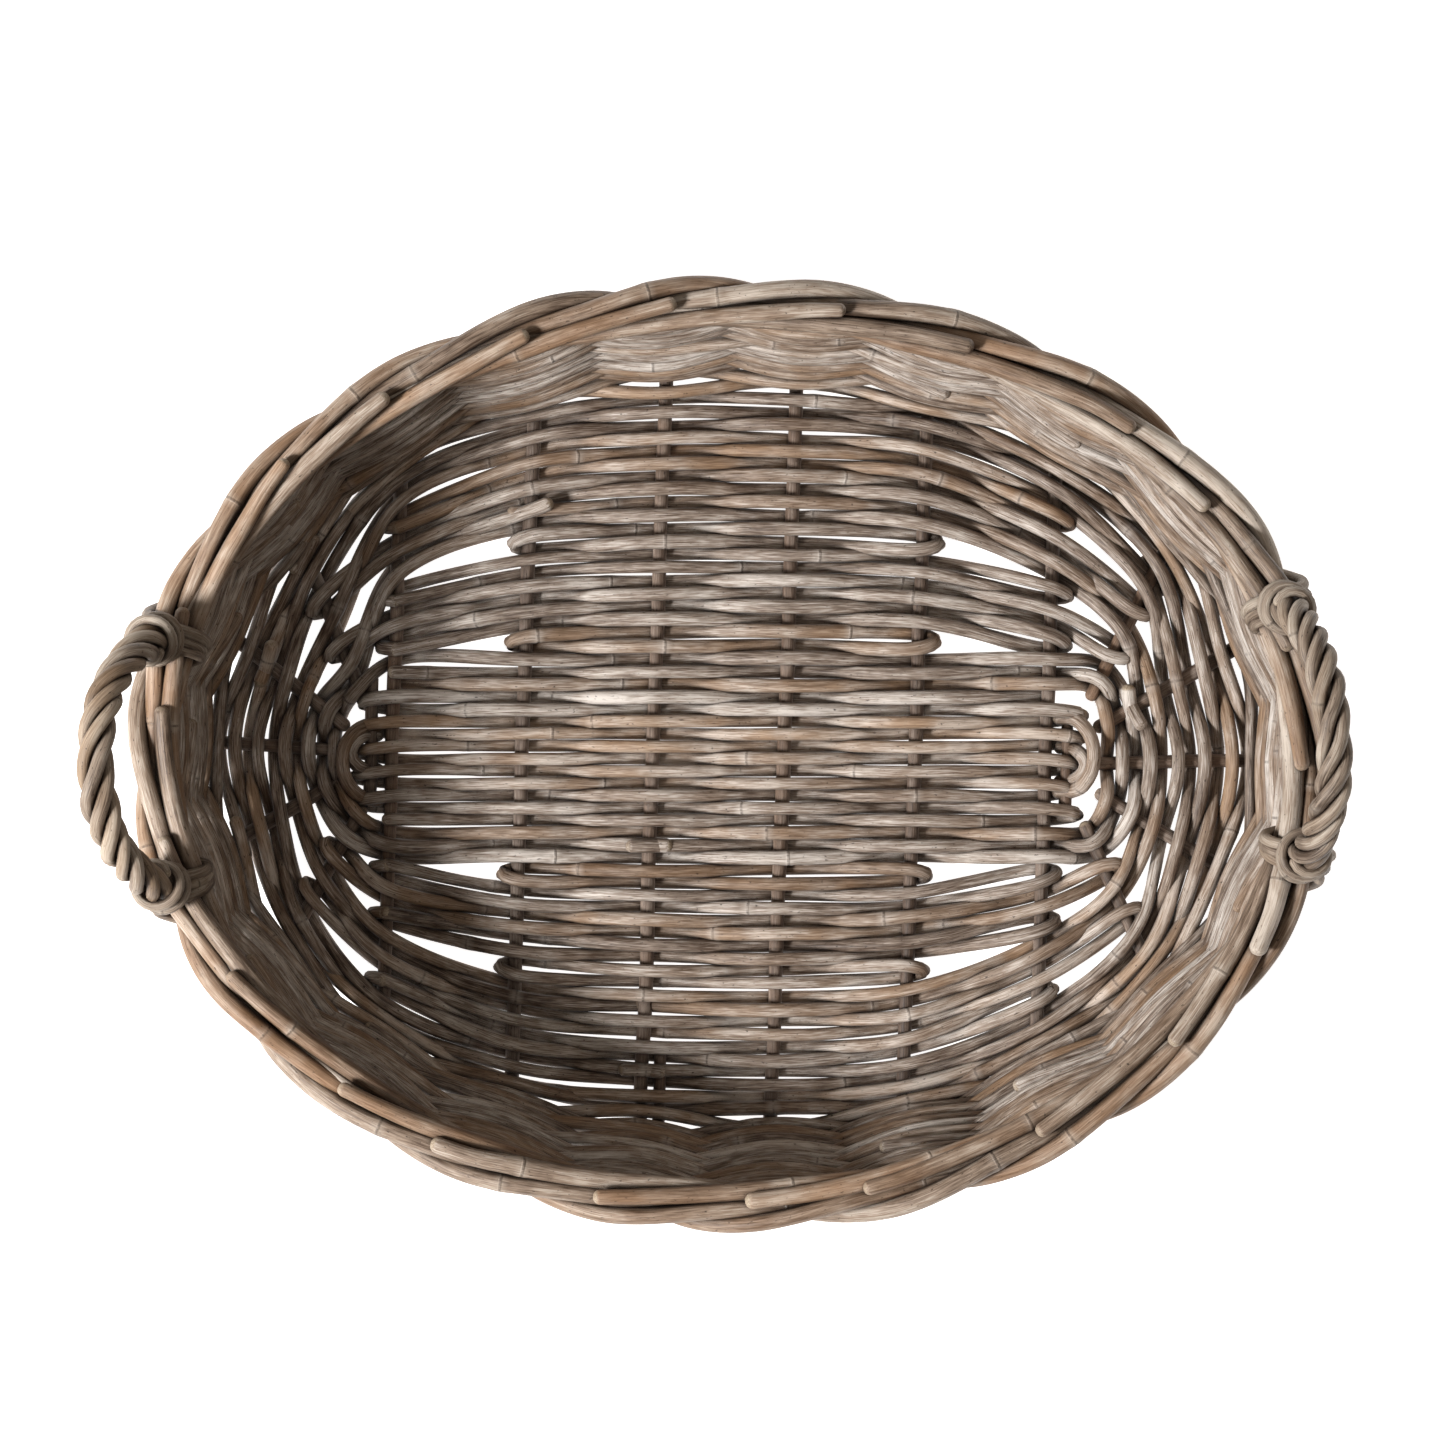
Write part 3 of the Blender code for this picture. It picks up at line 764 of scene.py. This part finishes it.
def make_rope(rods, bow):
    ring = HANDLE_CORE_RADIUS + HANDLE_STRAND_RADIUS * 0.88
    steps = 90
    for strand in range(HANDLE_STRANDS):
        points = []
        for step in range(steps + 1):
            share = 0.02 + 0.96 * step / steps
            turns = STRAND_TURNS * step / steps + strand / HANDLE_STRANDS
            points.append(bow.round_bow(share, 2 * math.pi * turns, ring))
        thickness = HANDLE_STRAND_RADIUS * rods.rng.uniform(0.93, 1.05)
        rods.add(smooth_line(points), thickness, WEAVER_SIDES)


def make_binding(rods, bow, first_share, last_share):
    """A strand wound tightly round the foot of the rope."""
    ring = HANDLE_CORE_RADIUS + 2 * HANDLE_STRAND_RADIUS + BINDING_RADIUS * 0.5
    steps = 36
    points = []
    for step in range(steps + 1):
        share = first_share + (last_share - first_share) * step / steps
        squeeze = 1 - 0.25 * (2 * step / steps - 1) ** 8
        angle = 2 * math.pi * BINDING_TURNS * step / steps
        points.append(bow.round_bow(share, angle, ring * squeeze))
    rods.add(smooth_line(points), BINDING_RADIUS, WEAVER_SIDES)


def make_lashing(rods, bow, foot_y, spread):
    """Strands over the border, from under its outer side to the inside of the wall."""
    for number in (-1, 0, 1):
        points = []
        for step, degrees in enumerate(LASHING_DEGREES):
            gap = LASHING_GAP - LASHING_CLOSING * step
            aside = spread * (LASHING_ASIDE - LASHING_SWEEP * step)
            y = foot_y + number * gap + aside
            centre = Vector((bow.foot_x(y), y, BORDER_Z))
            reach = BORDER_SHOULDER + 0.0008 * number
            if degrees in (LASHING_DEGREES[0], LASHING_DEGREES[-1]):
                reach -= LASHING_TUCK
            angle = math.radians(degrees)
            arm = Vector((bow.way * math.cos(angle), 0.0, math.sin(angle)))
            points.append(centre + arm * reach)
        rods.add(smooth_line(points), LASHING_RADIUS, WEAVER_SIDES)


def make_handle(label, way, centre_y, lean, material):
    bow = HandleBow(way, centre_y, lean)
    core = RodMesh(600 + way)
    line = [bow.point(step / 24) for step in range(25)]
    core.add(smooth_line(line), HANDLE_CORE_RADIUS, WEAVER_SIDES)
    core.finish(f"{label}_bow_core", material, [f"{label}_handle_bow"], "handle")
    rope = RodMesh(610 + way)
    make_rope(rope, bow)
    rope.finish(f"{label}_rope", material, [f"{label}_handle_strand_b"], "handle")
    lashings = RodMesh(620 + way)
    for share, spread in ((0.0, 1.0), (1.0, -1.0)):
        make_lashing(lashings, bow, bow.point(share).y, spread)
    low, high = BINDING_SHARES
    make_binding(lashings, bow, low, high)
    make_binding(lashings, bow, 1 - low, 1 - high)
    lashings.finish(f"{label}_lashings", material, [f"{label}_handle_strand_a"], "handle")


# ---------------------------------------------------------------- material


class Tree:
    """Adds nodes to a material and links them in one call."""

    def __init__(self, material):
        self.tree = material.node_tree

    def add(self, kind, inputs=None, **settings):
        node = self.tree.nodes.new(kind)
        for key, value in settings.items():
            setattr(node, key, value)
        for key, value in (inputs or {}).items():
            self.feed(value, node.inputs[key])
        return node

    def feed(self, value, socket):
        if isinstance(value, bpy.types.NodeSocket):
            self.tree.links.new(value, socket)
        else:
            socket.default_value = value

    def math(self, operation, a, b=0.0, clamp=False):
        node = self.add("ShaderNodeMath", {0: a, 1: b}, operation=operation, use_clamp=clamp)
        return node.outputs[0]

    def attribute(self, name):
        return self.add("ShaderNodeAttribute", attribute_name=name)

    def noise(self, place, scale, detail=3.0, stretch=(1.0, 1.0, 1.0)):
        sizes = tuple(s * scale for s in stretch)
        moved = self.add("ShaderNodeVectorMath", {0: place, 1: sizes}, operation="MULTIPLY")
        noise = self.add("ShaderNodeTexNoise", {"Vector": moved.outputs[0], "Scale": 1.0})
        noise.inputs["Detail"].default_value = detail
        return noise.outputs["Fac"]

    def spread(self, value, low, high, to_low=0.0, to_high=1.0):
        node = self.add("ShaderNodeMapRange", {"Value": value}, clamp=True)
        limits = {"From Min": low, "From Max": high, "To Min": to_low, "To Max": to_high}
        for key, number in limits.items():
            node.inputs[key].default_value = number
        return node.outputs[0]

    def mix(self, factor, a, b, blend="MIX"):
        node = self.add("ShaderNodeMix", data_type="RGBA", blend_type=blend)
        self.feed(factor, node.inputs["Factor"])
        self.feed(a, node.inputs[6])
        self.feed(b, node.inputs[7])
        return node.outputs[2]


# Linear colours of a rod's darkest, middle and palest grain and of its bare skin
Look = namedtuple("Look", "dark middle pale warm roughness grain")
LOOKS = {
    "weaver": Look(
        dark=(0.085, 0.054, 0.037),
        middle=(0.30, 0.236, 0.190),
        pale=(0.68, 0.62, 0.565),
        warm=(0.38, 0.25, 0.155),
        roughness=0.55,
        grain=0.29,
    ),
    # The stake look is darker than the weaver look: painted shade, for stakes that sit in shadow
    # between the rows.
    "stake": Look(
        dark=(0.065, 0.040, 0.028),
        middle=(0.21, 0.150, 0.114),
        pale=(0.40, 0.33, 0.28),
        warm=(0.26, 0.16, 0.10),
        roughness=0.62,
        grain=0.26,
    ),
    "border": Look(
        dark=(0.085, 0.053, 0.035),
        middle=(0.31, 0.228, 0.168),
        pale=(0.62, 0.54, 0.46),
        warm=(0.38, 0.235, 0.14),
        roughness=0.50,
        grain=0.20,
    ),
    "handle": Look(
        dark=(0.085, 0.057, 0.040),
        middle=(0.29, 0.222, 0.168),
        pale=(0.54, 0.47, 0.39),
        warm=(0.33, 0.235, 0.155),
        roughness=0.52,
        grain=0.24,
    ),
}
# Dark colour of pores and joint lines, and of the painted shade between rods
DARK_MARK_AND_SHADE = (0.020, 0.0105, 0.006, 1.0)
PALE_PITH = (0.55, 0.45, 0.33, 1.0)
DARK_PITH = (0.20, 0.14, 0.095, 1.0)
PAINTED_SHADE_REACH = 0.008  # how near another rod is where painted shade darkens a rod


def rattan(name):
    """Weathered rattan: grain, grey bloom, dark joints, pale cut ends, and painted shade where
    rods lie near one another.
    """
    look = LOOKS[name]
    dark, pale, warm = ((*c, 1.0) for c in (look.dark, look.pale, look.warm))
    material = bpy.data.materials.new(name + "_rattan")
    material.use_nodes = True
    tree = Tree(material)
    shader = material.node_tree.nodes["Principled BSDF"]
    fibre = tree.attribute("fibre").outputs["Vector"]
    rod = tree.add("ShaderNodeSeparateXYZ", {0: tree.attribute("rod").outputs["Vector"]})
    shade, warmth, to_joint = rod.outputs
    cut = tree.attribute("cut").outputs["Fac"]

    grain = tree.noise(fibre, 2400.0, 3.0, (1.0, 1.0, 0.050))
    streak = tree.noise(fibre, 800.0, 3.0, (1.0, 1.0, 0.040))
    patch = tree.noise(fibre, 75.0, 4.0, (1.0, 1.0, 0.50))
    tone = tree.math("ADD", tree.math("MULTIPLY", shade, 0.10), 0.50)
    tone = tree.math("ADD", tone, tree.spread(grain, 0.34, 0.66, -look.grain, look.grain))
    tone = tree.math("ADD", tone, tree.spread(streak, 0.25, 0.75, -0.24, 0.24))
    tone = tree.math("ADD", tone, tree.spread(patch, 0.25, 0.75, -0.30, 0.30), clamp=True)
    ramp = tree.add("ShaderNodeValToRGB", {"Fac": tone})
    ramp.color_ramp.elements[0].position = 0.05
    ramp.color_ramp.elements[0].color = dark
    ramp.color_ramp.elements[1].position = 0.97
    ramp.color_ramp.elements[1].color = pale
    ramp.color_ramp.elements.new(0.50).color = (*look.middle, 1.0)

    # The skin of some rods is still warm brown, where the grey bloom hasn't covered it.
    skin = tree.mix(tone, (0.55, 0.5, 0.46, 1.0), (1.35, 1.35, 1.35, 1.0))
    skin = tree.mix(1.0, skin, warm, "MULTIPLY")
    bare = tree.spread(patch, 0.35, 0.6, 0.9, 0.3)
    worn = tree.math("MULTIPLY", tree.spread(warmth, 0.45, 1.0), bare)
    colour = tree.mix(worn, ramp.outputs["Color"], skin)
    pores = tree.noise(fibre, 1000.0, 2.0, (1.0, 1.0, 0.45))
    colour = tree.mix(tree.spread(pores, 0.66, 0.74, 0.0, 0.8), colour, DARK_MARK_AND_SHADE)

    broken = tree.spread(streak, 0.35, 0.6)
    ring = tree.math("MULTIPLY", tree.spread(to_joint, 0.0002, 0.0008, 0.6, 0.0), broken)
    halo = tree.math("MULTIPLY", tree.spread(to_joint, 0.0008, 0.0040, 0.55, 0.0), patch)
    colour = tree.mix(halo, colour, pale)
    colour = tree.mix(ring, colour, DARK_MARK_AND_SHADE)

    pith = tree.noise(fibre, 2500.0, 2.0)
    end_colour = tree.mix(tree.spread(pith, 0.35, 0.7), PALE_PITH, DARK_PITH)
    colour = tree.mix(cut, colour, end_colour)

    # Painted shade: rods are darkened where other rods are near them (ambient occlusion), standing
    # in for the shade between rods.
    crevice = tree.add("ShaderNodeAmbientOcclusion", samples=6)
    crevice.inputs["Distance"].default_value = PAINTED_SHADE_REACH
    painted_shade = tree.spread(crevice.outputs["AO"], 0.20, 0.84, 0.97, 0.0)
    colour = tree.mix(painted_shade, colour, DARK_MARK_AND_SHADE)
    tree.feed(colour, shader.inputs["Base Color"])
    roughness = tree.spread(tone, 0.1, 0.9, look.roughness - 0.08, look.roughness + 0.18)
    tree.feed(roughness, shader.inputs["Roughness"])
    shader.inputs["Specular IOR Level"].default_value = 0.40

    height = tree.math("ADD", tree.math("MULTIPLY", grain, 0.6), streak)
    height = tree.math("ADD", height, tree.spread(to_joint, 0.0003, 0.0010, -1.0, 0.0))
    bump = tree.add("ShaderNodeBump", {"Height": height})
    bump.inputs["Strength"].default_value = 0.7
    bump.inputs["Distance"].default_value = 0.0005
    tree.feed(bump.outputs["Normal"], shader.inputs["Normal"])
    return material


# ---------------------------------------------------------------- floor, light, camera


def make_floor():
    mesh = bpy.data.meshes.new("studio_floor")
    ways = ((-1, -1), (1, -1), (1, 1), (-1, 1))
    corners = [(x * STUDIO_FLOOR_HALF, y * STUDIO_FLOOR_HALF, STUDIO_FLOOR_Z) for x, y in ways]
    mesh.from_pydata(corners, [], [(0, 1, 2, 3)])
    floor = bpy.data.objects.new("studio_floor", mesh)
    bpy.context.scene.collection.objects.link(floor)
    material = bpy.data.materials.new("pale_floor")
    material.use_nodes = True
    shader = material.node_tree.nodes["Principled BSDF"]
    shader.inputs["Base Color"].default_value = (0.80, 0.80, 0.80, 1.0)
    shader.inputs["Roughness"].default_value = 0.9
    shader.inputs["Emission Color"].default_value = (1.0, 0.99, 0.98, 1.0)
    shader.inputs["Emission Strength"].default_value = 0.93
    mesh.materials.append(material)


def area_light(name, place, size, power, colour, target=(0.0, 0.0, 0.0)):
    data = bpy.data.lights.new(name, "AREA")
    data.shape = "DISK"
    data.size = size
    data.energy = power
    data.color = colour
    light = bpy.data.objects.new(name, data)
    light.location = place
    light.rotation_mode = "QUATERNION"
    light.rotation_quaternion = (Vector(target) - Vector(place)).to_track_quat("-Z", "Y")
    bpy.context.scene.collection.objects.link(light)


def make_lights():
    area_light("key", *KEY_LIGHT, target=(0.0, 0.0, 0.05))
    area_light("overhead", *OVERHEAD_LIGHT)
    bpy.context.scene.view_settings.view_transform = "Standard"
    world = bpy.data.worlds.new("soft_sky")
    world.use_nodes = True
    world.node_tree.nodes["Background"].inputs["Color"].default_value = (1.0, 1.0, 1.0, 1.0)
    world.node_tree.nodes["Background"].inputs["Strength"].default_value = 1.0
    world.cycles_visibility.diffuse = False  # a white backdrop that doesn't light the basket
    world.cycles_visibility.glossy = False
    bpy.context.scene.world = world


def make_camera():
    data = bpy.data.cameras.new("camera")
    data.lens = CAMERA_LENS
    data.sensor_width = 36.0
    camera = bpy.data.objects.new("camera", data)
    camera.location = CAMERA_PLACE
    back = (CAMERA_PLACE - CAMERA_TARGET).normalized()
    right = Vector((0.0, 1.0, 0.0)).cross(back).normalized()
    axes = Matrix((right, back.cross(right), back)).transposed()
    camera.rotation_mode = "QUATERNION"
    camera.rotation_quaternion = axes.to_quaternion()
    bpy.context.scene.collection.objects.link(camera)
    bpy.context.scene.camera = camera


def clear_scene():
    for item in list(bpy.data.objects):
        bpy.data.objects.remove(item)


def main():
    clear_scene()
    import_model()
    materials = {name: rattan(name) for name in LOOKS}
    skeleton = Skeleton()
    make_stakes(skeleton, materials["stake"])
    make_loose_sticks(skeleton, materials["stake"])
    make_band(materials["weaver"])
    make_hoops(materials["weaver"])
    packing = Packing()
    make_rounds(skeleton, materials["weaver"], packing)
    packing.finish(materials["weaver"])
    make_border(skeleton, materials["border"])
    make_handle("left", -1, LEFT_HANDLE_Y, LEFT_HANDLE_LEAN, materials["handle"])
    make_handle("right", 1, RIGHT_HANDLE_Y, RIGHT_HANDLE_LEAN, materials["handle"])
    make_floor()
    make_lights()
    make_camera()


main()
